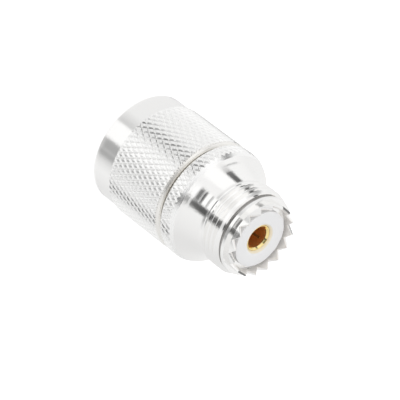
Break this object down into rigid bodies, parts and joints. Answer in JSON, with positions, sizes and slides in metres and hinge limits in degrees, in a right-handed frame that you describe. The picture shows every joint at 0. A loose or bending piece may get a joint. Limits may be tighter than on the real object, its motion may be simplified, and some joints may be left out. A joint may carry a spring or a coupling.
{
  "type": "uhf connector",
  "caption": "Straight coaxial adapter: threaded socket with a serrated crown and gold centre contact, knurled flange, and a captive knurled coupling nut over a pin plug.",
  "frame": {"origin": "centre of the coupling nut's rim, which the adapter stands on", "axes": "+Z along the connector's axis, from the plug to the mouth of the UHF socket"},
  "size_m": [0.0214, 0.0214, 0.0327],
  "materials": {
    "silver_plate": "bright silver plate on brass",
    "gold_plate": "bright gold plate on brass",
    "spring_bronze": "plain drawn wire",
    "white_insulator": "machined fluoropolymer",
    "silicone_rubber": "matte"
  },
  "bodies": {
    "adapter_body": {"socket_shell": "silver_plate", "plug_body": "silver_plate", "retaining_ring": "spring_bronze", "sealing_gasket": "silicone_rubber", "socket_insulator": "white_insulator", "plug_insulator": "white_insulator", "socket_contact": "gold_plate", "plug_pin": "gold_plate"},
    "nut": {"coupling_nut": "silver_plate"}
  },
  "joints": [
    {"name": "nut_turn", "type": "hinge", "parent": "adapter_body", "child": "nut", "pos_m": [0, 0, 0.00875], "axis": [0, 0, 1], "continuous": true}
  ]
}
